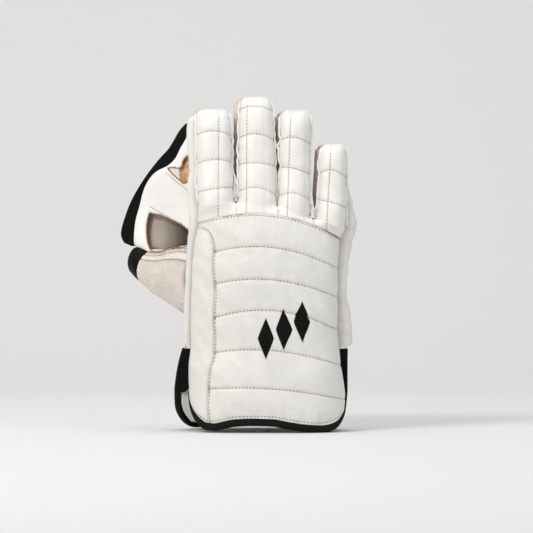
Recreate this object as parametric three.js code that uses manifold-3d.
// A right-hand wicketkeeping glove, standing on its cuff with the back of the hand towards -Y and the
// palm towards +Y. Millimetres, +Z up, origin under the middle of the box. The glove is sewn from thick
// sheets: a quilted back, four finger stalls with gussets between them, a pimpled palm, a thumb stall,
// a cut-out catching web and a slit cuff bound in black. Every sheet is one closed solid, and the
// pieces meet along their seams with a small gap.
import * as THREE from 'three';
import { mergeVertices } from 'three/addons/utils/BufferGeometryUtils.js';
import Module from 'manifold-3d';

const wasm = await Module();
wasm.setup();

// Driving dimensions of the whole glove.
const GLOVE_HEIGHT = 316; // hem to the tip of the middle stall
const HAND_WIDTH = 152; // across the padded back at the cuff
const BACK_DEPTH = 46; // from the side seams forward to the padded back, at the cuff
const PALM_DEPTH = 44; // from the side seams rearward to the palm side, at the cuff
const FINGER_BEND = 34; // how far the fingertips curl towards the palm
const PALM_CUP = 9; // how far the middle of the palm is pushed in

// Walls, seams and clearances.
const SEAM_GAP = 0.4; // left between neighbouring pieces
const FOOT_GAP = 1.3; // between the knuckle panel and the feet of the stalls
const BACK_PAD = 13; // quilted back at its middle
const BACK_EDGE = 6; // the same sheet where it is sewn at the sides
const PALM_WALL = 5; // rubber facing on its chamois inner
const CUFF_WALL = 5; // palm side of the cuff
const FINGER_PAD = 8; // padded backs of the stalls
const FINGER_WALL = 4; // facing of the stalls
const FINGER_EDGE = 3; // stall sheets at their side seams, and the gussets
const TIP_WALL = 5; // stalls at their tips
const THUMB_WALL = 4.5;
const WEB_LEATHER = 2.4;
const QUILT_DENT = 2.6; // how deep the sewn channels pull the back in
const STALL_DENT = 1.5; // how deep the cross stitching pulls the stalls in
const BINDING_WIDTH = 7; // black binding on the hem of the back
const ELASTIC = 1.5; // black gussets in the side slits of the cuff
const BINDING_DEPTH = 8;
const EDGE_BINDING = 5; // black binding round the palm side of the cuff
const GUSSET_DEPTH = 7; // front to back between the two sheets of a stall
const SIDE_DEPTH = 11; // the same at the sides of the hand
const STALL_LEAN = 5; // how far a stall's facing sits towards the thumb from its back
const WELT_WIDTH = 8; // raised strip down the thumb side of the hand
const FOLD_WIDTH = 11; // folded gusset down the other side

const HALF = HAND_WIDTH / 2;
const OVAL = 2.5; // squareness of the hand's section
const STALL_OVAL = 2.7; // squareness of a stall's section
const TIP_ROUND = 0.13; // share of a stall's length that is its rounded tip
const SIDE_SEAM = -0.74; // seam of the thumb-side panel, as a share of half the width
const WRIST = 0.27; // the palm facing starts here, as a share of GLOVE_HEIGHT
const SLIT_TOP = 0.245; // top of the side slits of the cuff

// Sections of the hand and cuff. up is a share of GLOVE_HEIGHT, left and right of half the width,
// back and palm of BACK_DEPTH and PALM_DEPTH.
const BODY = [
  { up: 0.00, left: -0.985, right: 0.975, back: 1.00, palm: 1.00 },
  { up: 0.09, left: -0.995, right: 0.975, back: 0.95, palm: 0.91 },
  { up: 0.18, left: -0.986, right: 0.925, back: 0.87, palm: 0.79 },
  { up: 0.25, left: -0.968, right: 0.890, back: 0.80, palm: 0.70 },
  { up: 0.38, left: -0.960, right: 0.874, back: 0.75, palm: 0.60 },
  { up: 0.48, left: -0.942, right: 0.874, back: 0.73, palm: 0.56 },
  { up: 0.56, left: -0.918, right: 0.893, back: 0.69, palm: 0.52 },
  { up: 0.61, left: -0.878, right: 0.925, back: 0.65, palm: 0.49 },
  { up: 0.66, left: -0.855, right: 0.952, back: 0.60, palm: 0.45 },
  { up: 0.70, left: -0.850, right: 0.970, back: 0.56, palm: 0.42 },
];

// The sides of the palm cuff, which flares past the back below the slits, as shares of half the width.
const CUFF = [
  { up: 0.00, left: -1.120, right: 0.930 },
  { up: 0.06, left: -1.150, right: 0.960 },
  { up: 0.12, left: -1.160, right: 0.985 },
  { up: 0.20, left: -1.112, right: 0.985 },
  { up: 0.27, left: -1.030, right: 0.990 },
];

// How far the two side strips stand out past the back, as shares of WELT_WIDTH and FOLD_WIDTH.
const SIDES = [
  { up: 0.24, welt: 0.89, fold: 1.22 },
  { up: 0.31, welt: 0.84, fold: 1.16 },
  { up: 0.35, welt: 0.82, fold: 1.02 },
  { up: 0.42, welt: 0.78, fold: 0.73 },
  { up: 0.50, welt: 0.78, fold: 0.88 },
  { up: 0.56, welt: 0.82, fold: 1.05 },
  { up: 0.62, welt: 1.12, fold: 1.06 },
  { up: 0.68, welt: 1.24, fold: 0.86 },
  { up: 0.73, welt: 1.10, fold: 0.46 },
  { up: 0.78, welt: 0.62, fold: 0.24 },
  { up: 0.89, welt: 0.88, fold: 0.20 },
  { up: 1.00, welt: 0.40, fold: 0.20 },
];

// The lower edge of the back, its binding included: at is the place across it from -1 to 1, and up
// a share of GLOVE_HEIGHT.
const HEM = [
  { at: -1.00, up: 0.105 }, { at: -0.98, up: 0.066 }, { at: -0.93, up: 0.038 }, { at: -0.86, up: 0.019 },
  { at: -0.78, up: 0.007 }, { at: -0.68, up: 0.006 }, { at: -0.57, up: 0.012 }, { at: -0.44, up: 0.018 },
  { at: -0.20, up: 0.021 }, { at: 0.00, up: 0.020 }, { at: 0.12, up: 0.018 }, { at: 0.32, up: 0.009 },
  { at: 0.50, up: 0.003 }, { at: 0.70, up: 0.000 }, { at: 0.80, up: 0.002 }, { at: 0.89, up: 0.012 },
  { at: 0.95, up: 0.028 }, { at: 0.985, up: 0.045 }, { at: 1.00, up: 0.070 },
];

// Cross seams of the back, as shares of GLOVE_HEIGHT where they meet the left edge, the middle and
// the right edge. The last is the knuckle seam.
const CROSS_SEAMS = [
  { left: 0.123, middle: 0.132, right: 0.096 },
  { left: 0.222, middle: 0.246, right: 0.198 },
  { left: 0.315, middle: 0.364, right: 0.306 },
  { left: 0.423, middle: 0.456, right: 0.402 },
  { left: 0.519, middle: 0.552, right: 0.489 },
  { left: 0.622, middle: 0.648, right: 0.576 },
];

// Finger stalls from the thumb side. foot and top are the middle of the stall at its slot and at its
// tip, wide and slim half its width there, all as shares of half the hand width; tip is its height
// and seams its cross stitching, as shares of GLOVE_HEIGHT.
const STALLS = [
  { name: 'index', foot: -0.652, top: -0.686, wide: 0.213, slim: 0.212, tip: 0.963, seams: [0.729, 0.813, 0.898] },
  { name: 'middle', foot: -0.128, top: -0.153, wide: 0.226, slim: 0.199, tip: 1.000, seams: [0.729, 0.801, 0.888] },
  { name: 'ring', foot: 0.320, top: 0.347, wide: 0.180, slim: 0.184, tip: 0.960, seams: [0.711, 0.786, 0.879] },
  { name: 'little', foot: 0.784, top: 0.821, wide: 0.172, slim: 0.153, tip: 0.858, seams: [0.684, 0.780] },
];
const CROTCHES = [0.687, 0.675, 0.636]; // height of each slot's foot, as a share of GLOVE_HEIGHT
const STALL_FLOOR = { left: 0.672, right: 0.602 }; // where the stalls start at the two sides
const STALL_BACK = 0.42; // depth of a stall's back, as a share of BACK_DEPTH
const STALL_PALM = 0.30; // depth of a stall's facing, as a share of PALM_DEPTH

// The thumb stall leaves the palm side of the hand and points left and rearward: a row for each
// section, its middle as shares of half the width, PALM_DEPTH and GLOVE_HEIGHT, and its half height
// and half depth as shares of THUMB_TALL and THUMB_DEEP.
const THUMB_TALL = 31;
const THUMB_DEEP = 17;
const THUMB = [
  { x: -0.62, y: -0.02, up: 0.442, tall: 1.00, deep: 0.85 },
  { x: -0.92, y: 0.36, up: 0.448, tall: 1.06, deep: 0.92 },
  { x: -1.12, y: 0.68, up: 0.461, tall: 0.93, deep: 1.00 },
  { x: -1.32, y: 0.98, up: 0.468, tall: 0.70, deep: 0.98 },
  { x: -1.49, y: 1.23, up: 0.481, tall: 0.53, deep: 0.90 },
  { x: -1.60, y: 1.39, up: 0.497, tall: 0.47, deep: 0.78 },
  { x: -1.68, y: 1.49, up: 0.508, tall: 0.39, deep: 0.56 },
  { x: -1.72, y: 1.54, up: 0.511, tall: 0.18, deep: 0.24 },
];
const CAP_ROW = 4.2; // the black tip of the thumb starts at this row

// The catching web, seen from the front: x as shares of half the width, up of GLOVE_HEIGHT.
const WEB_EDGE = [
  { up: 0.524, x: -1.45 }, { up: 0.534, x: -1.56 }, { up: 0.545, x: -1.66 }, { up: 0.562, x: -1.69 },
  { up: 0.600, x: -1.685 }, { up: 0.633, x: -1.665 }, { up: 0.669, x: -1.622 }, { up: 0.720, x: -1.566 },
  { up: 0.752, x: -1.497 }, { up: 0.777, x: -1.397 }, { up: 0.791, x: -1.272 }, { up: 0.812, x: -1.173 },
  { up: 0.846, x: -1.098 }, { up: 0.879, x: -1.020 }, { up: 0.895, x: -1.010 },
];
const BAND_EDGE = [
  { up: 0.549, x: -1.72 }, { up: 0.555, x: -1.80 }, { up: 0.567, x: -1.84 }, { up: 0.588, x: -1.861 },
  { up: 0.633, x: -1.815 }, { up: 0.684, x: -1.734 }, { up: 0.732, x: -1.622 }, { up: 0.776, x: -1.497 },
  { up: 0.813, x: -1.372 }, { up: 0.846, x: -1.247 }, { up: 0.900, x: -1.110 }, { up: 0.921, x: -1.029 },
];
const UPPER_HOLE = [
  [-1.285, 0.786], [-1.185, 0.788], [-1.110, 0.784], [-1.073, 0.792], [-1.069, 0.808], [-0.979, 0.831], [-0.973, 0.723],
];
const LOWER_HOLE = [
  [-1.484, 0.657], [-1.522, 0.627], [-1.531, 0.597], [-1.518, 0.564], [-1.491, 0.543], [-1.447, 0.533],
  [-1.385, 0.533], [-1.310, 0.537], [-1.222, 0.545], [-1.035, 0.553], [-1.029, 0.591],
];
const WEB_SLANT = 1.2; // how far the web runs rearward for each step to the left
const WEB_BOW = 0.004; // and how it bows back, per mm squared
const WEB_START = 0.6; // from the rear of the welt to the web at its root

const lerp = (a, b, t) => a + (b - a) * t;
const clamp = (t) => Math.min(1, Math.max(0, t));
const smooth = (t) => clamp(t) ** 2 * (3 - 2 * clamp(t));

// Value of a column of a table at a height, easing through its rows.
function reading(table, by, column, at) {
  if (at <= table[0][by]) return table[0][column];
  const next = table.findIndex((row) => row[by] >= at);
  if (next < 0) return table[table.length - 1][column];
  const [low, high] = [table[next - 1], table[next]];
  return lerp(low[column], high[column], (at - low[by]) / (high[by] - low[by]));
}

// One closed sheet between an outer and an inner surface, each a function of u and v from 0 to 1.
function sheet(outer, inner, columns, rows) {
  const points = [];
  for (const face of [outer, inner])
    for (let j = 0; j <= rows; j++)
      for (let i = 0; i <= columns; i++) points.push(...face(i / columns, j / rows));
  const at = (side, i, j) => side * (columns + 1) * (rows + 1) + j * (columns + 1) + i;
  const faces = [];
  const quad = (a, b, c, d) => faces.push(a, b, c, a, c, d);
  for (let j = 0; j < rows; j++)
    for (let i = 0; i < columns; i++) {
      quad(at(0, i, j), at(0, i + 1, j), at(0, i + 1, j + 1), at(0, i, j + 1));
      quad(at(1, i, j + 1), at(1, i + 1, j + 1), at(1, i + 1, j), at(1, i, j));
    }
  for (let i = 0; i < columns; i++) {
    quad(at(1, i, 0), at(1, i + 1, 0), at(0, i + 1, 0), at(0, i, 0));
    quad(at(0, i, rows), at(0, i + 1, rows), at(1, i + 1, rows), at(1, i, rows));
  }
  for (let j = 0; j < rows; j++) {
    quad(at(0, 0, j), at(0, 0, j + 1), at(1, 0, j + 1), at(1, 0, j));
    quad(at(1, columns, j), at(1, columns, j + 1), at(0, columns, j + 1), at(0, columns, j));
  }
  return facingOut(points, faces);
}

// A geometry whose faces point out: the faces are turned round where its volume comes out negative.
function facingOut(points, faces) {
  const corner = (n) => new THREE.Vector3(points[3 * n], points[3 * n + 1], points[3 * n + 2]);
  let volume = 0;
  for (let i = 0; i < faces.length; i += 3)
    volume += corner(faces[i]).dot(corner(faces[i + 1]).cross(corner(faces[i + 2])));
  if (volume < 0)
    for (let i = 0; i < faces.length; i += 3) [faces[i + 1], faces[i + 2]] = [faces[i + 2], faces[i + 1]];
  const geometry = new THREE.BufferGeometry();
  geometry.setAttribute('position', new THREE.Float32BufferAttribute(points, 3));
  geometry.setIndex(faces);
  return geometry;
}

// A bar of rectangular section with cut corners along a path; each point gives its centre and the
// section's two half axes.
function bar(path, steps) {
  const cut = 0.55;
  const corners = [[1, cut], [cut, 1], [-cut, 1], [-1, cut], [-1, -cut], [-cut, -1], [cut, -1], [1, -cut]];
  const points = [];
  const faces = [];
  for (let j = 0; j <= steps; j++) {
    const { centre, across, up } = path(j / steps);
    for (const [a, b] of corners)
      points.push(...centre.map((c, k) => c + a * across[k] + b * up[k]));
  }
  const n = corners.length;
  for (let j = 0; j < steps; j++)
    for (let i = 0; i < n; i++) {
      const [a, b] = [j * n + i, j * n + ((i + 1) % n)];
      faces.push(a, b, b + n, a, b + n, a + n);
    }
  for (let i = 1; i < n - 1; i++) faces.push(0, i + 1, i, steps * n, steps * n + i, steps * n + i + 1);
  return facingOut(points, faces);
}

function solid(geometry) {
  const plain = geometry.clone();
  for (const name of Object.keys(plain.attributes)) if (name !== 'position') plain.deleteAttribute(name);
  const merged = mergeVertices(plain, 1e-4);
  return new wasm.Manifold(new wasm.Mesh({
    numProp: 3,
    vertProperties: new Float32Array(merged.attributes.position.array),
    triVerts: new Uint32Array(merged.index.array),
  }));
}

function geometryOf(manifold) {
  const made = manifold.getMesh();
  const geometry = new THREE.BufferGeometry();
  const points = new Float32Array(made.vertProperties);
  geometry.setAttribute('position', new THREE.BufferAttribute(points, 3));
  geometry.setIndex(new THREE.BufferAttribute(new Uint32Array(made.triVerts), 1));
  return geometry;
}

// The hand and cuff.
const body = (column, z) => reading(BODY, 'up', column, z / GLOVE_HEIGHT);
const leftEdge = (z) => body('left', z) * HALF;
const rightEdge = (z) => body('right', z) * HALF;
const oval = (s, power) => Math.max(0, 1 - Math.abs(s) ** power) ** (1 / power);

// The plane of the side seams: upright at the cuff, then curling rearward with the fingers.
const BEND_FROM = 0.52;
const seamPlane = (z) =>
  FINGER_BEND * clamp((z / GLOVE_HEIGHT - BEND_FROM) / (1 - BEND_FROM)) ** 1.7;

// Height of cross seam n at a share s across the hand, from -1 at the left edge to 1.
function seamHeight(n, s) {
  const { left, middle, right } = CROSS_SEAMS[n];
  return GLOVE_HEIGHT * (middle + ((right - left) / 2) * s + ((right + left) / 2 - middle) * s * s);
}

const hemHeight = (s) => reading(HEM, 'at', 'up', s) * GLOVE_HEIGHT;

// How far the lower corners of the palm cuff are rounded up.
const CORNER_FROM = 0.78;
function cornerRise(s, rise) {
  const round = clamp((Math.abs(s) - CORNER_FROM) / (1 - CORNER_FROM));
  return rise * (1 - Math.sqrt(1 - 0.98 * round * round));
}

// The pull of the nearest cross seam: 1 on a seam and 0 half way between two.
const SEAM_REACH = 0.32;
function seamPull(place) {
  const away = Math.abs(place - Math.round(place));
  const inside = Math.round(place) > 0 && Math.round(place) < backRows;
  return inside ? Math.max(0, 1 - away / SEAM_REACH) ** 2 : 0;
}

// Across a sheet, u goes from one side to the other, evenly round the curve.
const FULL = 0.999;
const across = (u, from, to) => Math.sin(lerp(Math.asin(from), Math.asin(to), u));
const backRows = CROSS_SEAMS.length;

function backHeight(s, v) {
  const place = Math.min(v * backRows, backRows - 1e-6);
  const n = Math.floor(place);
  const low = n === 0 ? hemHeight(s) + BINDING_WIDTH + SEAM_GAP : seamHeight(n - 1, s);
  const high = seamHeight(n, s) - (n + 1 === backRows ? SEAM_GAP : 0);
  return lerp(Math.min(low, high - 1), high, place - n);
}

const BACK_COLUMNS = 14;
const PANEL_COLUMNS = 4;
const BACK_ROWS = 24;
const PANEL_GAP = 0.004; // half the gap at the thumb-side panel's seam, as a share of half the width

const backWall = (s) => lerp(BACK_EDGE, BACK_PAD, oval(s, 3));
function backPoint(s, z, sink) {
  const middle = (leftEdge(z) + rightEdge(z)) / 2;
  const half = (rightEdge(z) - leftEdge(z)) / 2 - Math.min(sink, BACK_EDGE);
  const depth = body('back', z) * BACK_DEPTH - Math.min(sink, backWall(s));
  return [middle + half * s, seamPlane(z) - SIDE_DEPTH / 2 - depth * oval(s, OVAL), z];
}

function backSheet(from, to, columns, rows, depth) {
  const face = (wall) => (u, v) => {
    const s = across(u, from, to);
    const dent = depth * seamPull(v * backRows) * oval(s, 4);
    return backPoint(s, backHeight(s, v), wall ? backWall(s) : dent);
  };
  return sheet(face(false), face(true), columns, rows);
}

// The knuckle panel runs from the knuckle seam up to the feet of the stalls.
const slotPlace = (n) => {
  const [a, b] = [STALLS[n], STALLS[n + 1]];
  return (a.foot + a.wide + b.foot - b.wide) / 2;
};
const FLOOR = [
  { at: -1.05, up: STALL_FLOOR.left },
  ...CROTCHES.map((up, n) => ({ at: slotPlace(n), up })),
  { at: 1.05, up: STALL_FLOOR.right },
];
function floorHeight(x) {
  const next = Math.max(1, FLOOR.findIndex((row) => row.at >= x / HALF));
  const [low, high] = [FLOOR[next - 1], FLOOR[next]];
  return GLOVE_HEIGHT * lerp(low.up, high.up, smooth((x / HALF - low.at) / (high.at - low.at)));
}

function knucklePanel() {
  const face = (wall) => (u, v) => {
    const s = across(u, -FULL, FULL);
    const low = seamHeight(backRows - 1, s) + SEAM_GAP;
    const x = lerp(leftEdge(low), rightEdge(low), (s + 1) / 2);
    return backPoint(s, lerp(low, floorHeight(x) - FOOT_GAP, v), wall ? backWall(s) : 0);
  };
  return sheet(face(false), face(true), 24, 3);
}

// The palm side: the rear half of the hand's section, pushed in where the ball lands.
const cupping = (s, z) => PALM_CUP * (1 - s * s) ** 2 * Math.sin(Math.PI * clamp((z / GLOVE_HEIGHT - WRIST) / 0.42)) ** 1;
function palmPoint(s, z, sink, left, right) {
  const middle = (left + right) / 2;
  const half = (right - left) / 2 - sink;
  const depth = body('palm', z) * PALM_DEPTH - sink;
  return [middle + half * s, seamPlane(z) + SIDE_DEPTH / 2 + SEAM_GAP + depth * oval(s, OVAL) - cupping(s, z), z];
}

function palmFacing() {
  const face = (wall) => (u, v) => {
    const s = across(u, -FULL, FULL);
    const top = floorHeight(lerp(leftEdge(0.66 * GLOVE_HEIGHT), rightEdge(0.66 * GLOVE_HEIGHT), (s + 1) / 2));
    const z = lerp(WRIST * GLOVE_HEIGHT, top - FOOT_GAP, v);
    return palmPoint(s, z, wall, leftEdge(z), rightEdge(z));
  };
  return sheet(face(0), face(PALM_WALL), 16, 10);
}

const cuffEdge = (column, z) => reading(CUFF, 'up', column, z / GLOVE_HEIGHT) * HALF;
const CUFF_CORNER = 26;
const cuffHem = (s) => EDGE_BINDING + SEAM_GAP + cornerRise(s, CUFF_CORNER);
function cuffPoint(s, z, sink) {
  return palmPoint(s, z, sink, cuffEdge('left', z), cuffEdge('right', z));
}
function palmCuff() {
  const face = (wall) => (u, v) => {
    const s = across(u, -FULL, FULL);
    return cuffPoint(s, lerp(cuffHem(s), WRIST * GLOVE_HEIGHT - SEAM_GAP, v), wall);
  };
  return sheet(face(0), face(CUFF_WALL), CUFF_COLUMNS, CUFF_ROWS);
}

// A binding hugs the edge of a sheet. edge(p) gives the sheet's outer and inner corner there, and
// inward a point of the sheet just inside its edge.
function edgeBinding(edge, halfTall, halfDeep, steps) {
  const middle = (p) => edge(p).outer.clone().add(edge(p).inner).multiplyScalar(0.5);
  return bar((p) => {
    const { outer, inner, inward } = edge(p);
    const through = inner.clone().sub(outer).normalize();
    const along = middle(Math.min(p + 0.5 / steps, 1)).sub(middle(Math.max(p - 0.5 / steps, 0))).normalize();
    const up = through.clone().cross(along).normalize();
    if (up.dot(inward.clone().sub(middle(p))) < 0) up.negate();
    const tall = halfTall(p);
    const centre = middle(p).addScaledVector(up, -tall - SEAM_GAP);
    return {
      centre: centre.toArray(),
      across: through.multiplyScalar(halfDeep(p)).toArray(),
      up: up.multiplyScalar(tall).toArray(),
    };
  }, steps);
}
const vector = (point) => new THREE.Vector3(...point);

// The bindings turn at the columns of the sheets that they hug.
function hemPlace(p) {
  const column = p * (BACK_COLUMNS + PANEL_COLUMNS);
  if (column < PANEL_COLUMNS) return across(column / PANEL_COLUMNS, -FULL, SIDE_SEAM - PANEL_GAP);
  return across((column - PANEL_COLUMNS) / BACK_COLUMNS, SIDE_SEAM + PANEL_GAP, FULL);
}
function hemBinding() {
  const edge = (p) => {
    const s = hemPlace(p);
    const z = backHeight(s, 0);
    return {
      outer: vector(backPoint(s, z, 0)),
      inner: vector(backPoint(s, z, backWall(s))),
      inward: vector(backPoint(s * 0.98, z + 2, backWall(s) / 2)),
    };
  };
  const taper = (p) => smooth(Math.min(p, 1 - p) / 0.25);
  return edgeBinding(edge, (p) => lerp(1, BINDING_WIDTH / 2, taper(p)),
    (p) => lerp(BACK_EDGE, BINDING_DEPTH, taper(p)) / 2, BACK_COLUMNS + PANEL_COLUMNS);
}

const CUFF_COLUMNS = 20;
const CUFF_ROWS = 5;
function cuffBinding() {
  const climbs = 4; // steps up each side edge
  const steps = CUFF_COLUMNS + 2 * climbs;
  const edge = (p) => {
    const step = p * steps;
    const climb = Math.max(0, climbs - step, step - climbs - CUFF_COLUMNS) / climbs;
    const s = across(clamp((step - climbs) / CUFF_COLUMNS), -FULL, FULL);
    const z = lerp(cuffHem(s), SLIT_TOP * GLOVE_HEIGHT, climb);
    return {
      outer: vector(cuffPoint(s, z, 0)),
      inner: vector(cuffPoint(s, z, CUFF_WALL)),
      inward: vector(cuffPoint(s * 0.9, z + 2, CUFF_WALL / 2)),
    };
  };
  return edgeBinding(edge, () => EDGE_BINDING / 2, () => (CUFF_WALL + 1) / 2, steps);
}

// The black gussets that close the upper part of the side slits, from the back to the cuff's edge.
const SLIT_FOOT = 0.115; // share of GLOVE_HEIGHT where they end
function slitGusset(s) {
  const face = (rear) => (u, v) => {
    const z = lerp(SLIT_FOOT + 0.02 * (2 * u - 1) ** 2, SLIT_TOP, v) * GLOVE_HEIGHT;
    const back = (s < 0 ? leftEdge(z) : rightEdge(z)) - 2 * s;
    const cuff = cuffEdge(s < 0 ? 'left' : 'right', z) - s;
    const front = -SIDE_DEPTH / 2 + SEAM_GAP;
    return [lerp(back, cuff, u), lerp(front, front + 2.9, u) + rear * ELASTIC, z];
  };
  return sheet(face(0), face(1), 4, 6);
}

// The finger stalls. t runs from a stall's foot to its tip, and s across it.
const stallFoot = (stall, s) => floorHeight((stall.foot + s * stall.wide) * HALF);
const gussetDepth = (t) => GUSSET_DEPTH * (1 - smooth((t - 0.8) / 0.2));

// Half the width of a stall, and the share of its full depth that is left in its rounded tip.
function stallWidth(stall, t) {
  const rounding = clamp((t - (1 - TIP_ROUND)) / TIP_ROUND);
  const dome = (1 - 0.97 * rounding ** 2.6) ** (1 / 2.6);
  return { half: lerp(stall.wide, stall.slim, t) * HALF * lerp(1, dome, 0.72), dome };
}

function stallPoint(stall, s, t, side, sink) {
  const tip = stall.tip * GLOVE_HEIGHT - Math.min(sink, TIP_WALL);
  const z = lerp(stallFoot(stall, s), tip, t);
  const { half, dome } = stallWidth(stall, t);
  const lean = side > 0 ? STALL_LEAN * smooth(t * 3) : 0;
  const x = lerp(stall.foot, stall.top, t) * HALF + s * (half - Math.min(sink, FINGER_EDGE)) - lean;
  const root = side < 0 ? 0.60 * BACK_DEPTH : 0.44 * PALM_DEPTH;
  const end = side < 0 ? STALL_BACK * BACK_DEPTH : STALL_PALM * PALM_DEPTH;
  const depth = (lerp(root, end, smooth(t * 2.2)) - sink) * dome;
  const seam = gussetDepth(t) / 2 + SEAM_GAP;
  return [x, seamPlane(z) + side * (seam + Math.max(0, depth) * oval(s, STALL_OVAL)), z];
}

function stallSheet(stall, side, wall, columns, rows) {
  const seams = stall.seams.map((up) => up * GLOVE_HEIGHT);
  const reach = 6;
  const pull = (z) => Math.max(...seams.map((seam) => Math.max(0, 1 - Math.abs(z - seam) / reach) ** 2));
  const upStall = (v) => 1 - (1 - v) ** 1.6; // rows lie closer together towards the tip
  const outer = (u, v) => {
    const s = across(u, -FULL, FULL);
    const z = stallPoint(stall, s, upStall(v), side, 0)[2];
    return stallPoint(stall, s, upStall(v), side, side < 0 ? STALL_DENT * pull(z) * oval(s, 4) : 0);
  };
  const inner = (u, v) => stallPoint(stall, across(u, -FULL, FULL), upStall(v), side, wall);
  return sheet(outer, inner, columns, rows);
}

// Where a stall's side lies between its back, at rear 0, and its facing, at rear 1.
function stallSide(stall, s, t, rear, sink) {
  const [x, , z] = stallPoint(stall, s, t, -1, 0);
  const lean = STALL_LEAN * smooth(t * 3) * rear;
  return [x - s * Math.min(sink, FINGER_EDGE) - lean, seamPlane(z) + (rear - 0.5) * gussetDepth(t), z];
}

// A gusset goes down the side of one stall, round the foot of the slot and up the next.
const GUSSET_END = 0.93; // share of the stalls' length that it reaches
function gusset(first, second) {
  const steps = 9;
  const columns = 2 * steps + 1;
  const face = (sink) => (u, v) => {
    const i = Math.round(u * columns);
    const t = GUSSET_END * (i <= steps ? 1 - i / steps : (i - steps - 1) / steps);
    const point = i <= steps ? stallSide(first, 1, t, v, sink) : stallSide(second, -1, t, v, sink);
    return t === 0 ? [point[0], point[1], point[2] - sink] : point;
  };
  return sheet(face(0), face(FINGER_EDGE), columns, 1);
}

// The strips down the two sides of the hand go from the slits of the cuff to the outer stalls' tips.
function sideStrip(stall, s, column, width) {
  const steps = 20;
  const foot = stallFoot(stall, s);
  const tip = stallPoint(stall, s, GUSSET_END, -1, 0)[2];
  const edge = s < 0 ? leftEdge : rightEdge;
  const face = (sink) => (u, v) => {
    const z = lerp(SLIT_TOP * GLOVE_HEIGHT + SEAM_GAP, tip, v);
    const t = clamp((z - foot) / (stall.tip * GLOVE_HEIGHT - foot));
    const [x] = z < foot ? [edge(z)] : stallSide(stall, s, t, 0, 0);
    const deep = lerp(SIDE_DEPTH, gussetDepth(t) + SEAM_GAP, smooth((z / GLOVE_HEIGHT - 0.6) / 0.12)) - SEAM_GAP;
    const out = width * reading(SIDES, 'up', column, z / GLOVE_HEIGHT) * (0.7 + 0.3 * Math.sin(Math.PI * u));
    const lean = STALL_LEAN * smooth(t * 3) * u * (z < foot ? 0 : 1);
    return [x + s * (sink ? -FINGER_EDGE : out) - lean, seamPlane(z) + (u - 0.5) * deep, z];
  };
  return sheet(face(false), face(true), 3, steps);
}

// The thumb stall as a tube of sections; turn goes once round it, from its top towards the palm.
function thumbPlace(row, turn, sink) {
  const clamped = Math.min(THUMB.length - 1 - 1e-6, Math.max(0, row));
  const n = Math.floor(clamped);
  const part = (column) => lerp(THUMB[n][column], THUMB[n + 1][column], clamped - n);
  const centre = new THREE.Vector3(part('x') * HALF, part('y') * PALM_DEPTH, part('up') * GLOVE_HEIGHT);
  const [first, last] = [THUMB[0], THUMB[THUMB.length - 1]];
  const run = new THREE.Vector3((last.x - first.x) * HALF, (last.y - first.y) * PALM_DEPTH, (last.up - first.up) * GLOVE_HEIGHT).normalize();
  const tall = new THREE.Vector3(0, 0, 1).addScaledVector(run, -run.z).normalize();
  const deep = run.clone().cross(tall);
  const angle = 2 * Math.PI * turn;
  const reach = (size, share) => Math.max(1, size * share - sink);
  return centre
    .addScaledVector(tall, reach(THUMB_TALL, part('tall')) * Math.cos(angle))
    .addScaledVector(deep, reach(THUMB_DEEP, part('deep')) * Math.sin(angle))
    .toArray();
}

function thumbSector(fromTurn, toTurn, fromRow, toRow, columns, rows) {
  const face = (sink) => (u, v) => thumbPlace(lerp(fromRow, toRow, v), lerp(fromTurn, toTurn, u), sink);
  return sheet(face(0), face(THUMB_WALL), columns, rows);
}

// A closed loft round a tube given by place(row, turn).
function loft(place, fromRow, toRow, rows, sides) {
  const points = [];
  const faces = [];
  for (let j = 0; j <= rows; j++)
    for (let i = 0; i < sides; i++) points.push(...place(lerp(fromRow, toRow, j / rows), i / sides));
  for (let j = 0; j < rows; j++)
    for (let i = 0; i < sides; i++) {
      const [a, b] = [j * sides + i, j * sides + ((i + 1) % sides)];
      faces.push(a, b, b + sides, a, b + sides, a + sides);
    }
  const last = rows * sides;
  for (let i = 1; i < sides - 1; i++) faces.push(0, i + 1, i, last, last + i, last + i + 1);
  return facingOut(points, faces);
}

// The outside of the hand, grown a little: what the thumb stall is cut by.
function handPlace(z, turn, grow) {
  const angle = 2 * Math.PI * turn;
  const [x, y] = [Math.sin(angle), -Math.cos(angle)];
  const power = 2 / OVAL;
  const round = (value) => Math.sign(value) * Math.abs(value) ** power;
  const middle = (leftEdge(z) + rightEdge(z)) / 2;
  const half = (rightEdge(z) - leftEdge(z)) / 2 + grow;
  const deep = y < 0 ? body('back', z) * BACK_DEPTH : body('palm', z) * PALM_DEPTH;
  const flat = SIDE_DEPTH / 2 + SEAM_GAP + grow;
  return [middle + half * round(x), seamPlane(z) + Math.sign(y) * flat + deep * round(y), z];
}

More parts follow.
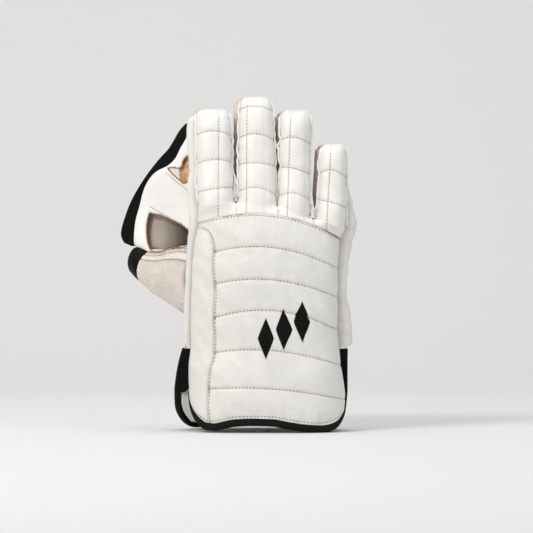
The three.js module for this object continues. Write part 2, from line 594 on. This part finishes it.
// The catching web: sheets slanting rearward to the left, from the thumb-side seam.
function webRoot(z) {
  const stall = STALLS[0];
  const foot = stallFoot(stall, -1);
  const t = clamp((z - foot) / (stall.tip * GLOVE_HEIGHT - foot));
  return (z < foot ? leftEdge(z) : stallSide(stall, -1, t, 1, 0)[0]) - 1;
}
function webPoint(x, z, back) {
  const reach = webRoot(z) - x;
  return [x, seamPlane(z) + SIDE_DEPTH / 2 + WEB_START + (WEB_SLANT - WEB_BOW * reach) * reach + back, z];
}
const webEdge = (z) => reading(WEB_EDGE, 'up', 'x', z / GLOVE_HEIGHT) * HALF;
const bandEdge = (z) => reading(BAND_EDGE, 'up', 'x', z / GLOVE_HEIGHT) * HALF;
const WEB_DEPTH = WEB_LEATHER * Math.hypot(1, WEB_SLANT); // its thickness measured front to back
const TAB_WIDTH = 12;
const TAB = { from: 0.722, to: 0.820 };
const bandInside = (z) => {
  const tab = 1 - smooth((z / GLOVE_HEIGHT - TAB.to - 0.005) / 0.03);
  return Math.min(webEdge(z) + 6, webRoot(z) - tab * (TAB_WIDTH + 0.6));
};

// One layer of the web between two edges: layer 0 is its front and the others lie behind.
function webSheet(left, right, from, to, layer, columns, rows) {
  const near = layer * (WEB_DEPTH + 2 * SEAM_GAP);
  const face = (back) => (u, v) => {
    const z = lerp(from, to, v) * GLOVE_HEIGHT;
    return webPoint(lerp(right(z), left(z), u), z, back);
  };
  return sheet(face(near), face(near + WEB_DEPTH), columns, rows);
}

function holePrism(outline) {
  const shape = new THREE.Shape(outline.map(([x, up]) => new THREE.Vector2(x * HALF, up * GLOVE_HEIGHT)));
  const prism = new THREE.ExtrudeGeometry(shape, { depth: 2 * GLOVE_HEIGHT, bevelEnabled: false });
  prism.rotateX(Math.PI / 2);
  prism.translate(0, GLOVE_HEIGHT, 0);
  return solid(prism);
}

function webPanel() {
  const whole = solid(webSheet(webEdge, webRoot, WEB_EDGE[0].up, WEB_EDGE[WEB_EDGE.length - 1].up, 0, 4, 20));
  return whole.subtract(holePrism(UPPER_HOLE)).subtract(holePrism(LOWER_HOLE));
}

const paint = (hex, roughness) => new THREE.MeshStandardMaterial({ color: hex, roughness, metalness: 0 });
const LEATHER = paint(0xebe7e1, 0.5);
const CHAMOIS = paint(0xded6cf, 0.8);
const RUBBER = paint(0xdcd5cb, 0.7);
const SUEDE = paint(0xcb9d66, 0.85);
const BLACK = paint(0x161516, 0.6);

const glove = new THREE.Group();
function add(name, geometry, material) {
  const mesh = new THREE.Mesh(geometry, material);
  mesh.name = name;
  glove.add(mesh);
}

add('hand_back', backSheet(SIDE_SEAM + PANEL_GAP, FULL, BACK_COLUMNS, BACK_ROWS, QUILT_DENT), LEATHER);
add('thumb_side_panel', backSheet(-FULL, SIDE_SEAM - PANEL_GAP, PANEL_COLUMNS, BACK_ROWS, 0), LEATHER);
add('hem_binding', hemBinding(), BLACK);
add('knuckle_panel', knucklePanel(), LEATHER);
for (const stall of STALLS) {
  add(stall.name + '_back', stallSheet(stall, -1, FINGER_PAD, 8, 12), LEATHER);
  add(stall.name + '_facing', stallSheet(stall, 1, FINGER_WALL, 8, 6), RUBBER);
}
for (const n of [0, 1, 2]) {
  const [first, second] = [STALLS[n], STALLS[n + 1]];
  add(first.name + '_' + second.name + '_gusset', gusset(first, second), CHAMOIS);
}
add('thumb_side_welt', sideStrip(STALLS[0], -1, 'welt', WELT_WIDTH), LEATHER);
add('outer_side_gusset', sideStrip(STALLS[3], 1, 'fold', FOLD_WIDTH), LEATHER);

add('left_slit_gusset', slitGusset(-1), BLACK);
add('right_slit_gusset', slitGusset(1), BLACK);

// The thumb stall is cut to the outside of the hand and opens into it.
const LAST_ROW = THUMB.length - 1;
const thumbTube = (sink, from, to) => solid(loft((row, turn) => thumbPlace(row, turn, sink), from, to, 10, 20));
const handOutside = solid(loft((z, turn) => handPlace(z, turn, SEAM_GAP),
  0.2 * GLOVE_HEIGHT, 0.68 * GLOVE_HEIGHT, 16, 40));
const weltRoom = solid(new THREE.BoxGeometry(2 * HAND_WIDTH, BACK_DEPTH, GLOVE_HEIGHT)
  .translate(-HAND_WIDTH, (SIDE_DEPTH - BACK_DEPTH) / 2 + 1, GLOVE_HEIGHT / 2));
const clearOfHand = (geometry) => solid(geometry).subtract(handOutside).subtract(weltRoom);
const biggest = (manifold) =>
  manifold.decompose().reduce((most, part) => (part.volume() > most.volume() ? part : most));
const thumbPiece = (fromTurn, toTurn, columns) =>
  geometryOf(biggest(clearOfHand(thumbSector(fromTurn, toTurn, 0.2, CAP_ROW - 0.02, columns, 7))));

add('palm_facing', geometryOf(solid(palmFacing()).subtract(thumbTube(THUMB_WALL, 0, 5))), RUBBER);
add('palm_cuff', palmCuff(), LEATHER);
add('palm_cuff_binding', cuffBinding(), BLACK);

add('thumb_back', thumbPiece(-0.46, -0.155, 6), RUBBER);
add('thumb_top_strip', thumbPiece(-0.15, -0.10, 1), LEATHER);
add('thumb_crotch_gusset', thumbPiece(-0.095, 0.10, 4), CHAMOIS);
add('thumb_facing', thumbPiece(0.105, 0.535, 8), RUBBER);
const thumbCap = thumbTube(0, CAP_ROW, LAST_ROW).subtract(thumbTube(THUMB_WALL, CAP_ROW - 0.5, LAST_ROW - 0.8));
add('thumb_tip', geometryOf(thumbCap), BLACK);

// The layers of the web stop short of the thumb.
const thumbRoom = thumbTube(-2 * SEAM_GAP, 0, LAST_ROW);
const clearOfThumb = (manifold) => geometryOf(biggest(manifold.subtract(thumbRoom)));
add('web_panel', clearOfThumb(webPanel()), LEATHER);
add('web_band', clearOfThumb(solid(webSheet(bandEdge, bandInside, 0.549, 0.921, 1, 2, 20))), BLACK);
add('web_backing', clearOfThumb(solid(webSheet((z) => webEdge(z) + 1, webRoot, 0.540, 0.712, 2, 3, 6))), LEATHER);
add('web_suede_tab', webSheet((z) => webRoot(z) - TAB_WIDTH, webRoot, TAB.from, TAB.to, 1, 1, 5), SUEDE);

// The frame's origin is the bottom centre of the whole glove.
const whole = new THREE.Box3().setFromObject(glove);
const middle = whole.getCenter(new THREE.Vector3());
glove.position.set(-middle.x, -middle.y, -whole.min.z);
glove.updateMatrixWorld(true);

export default glove;
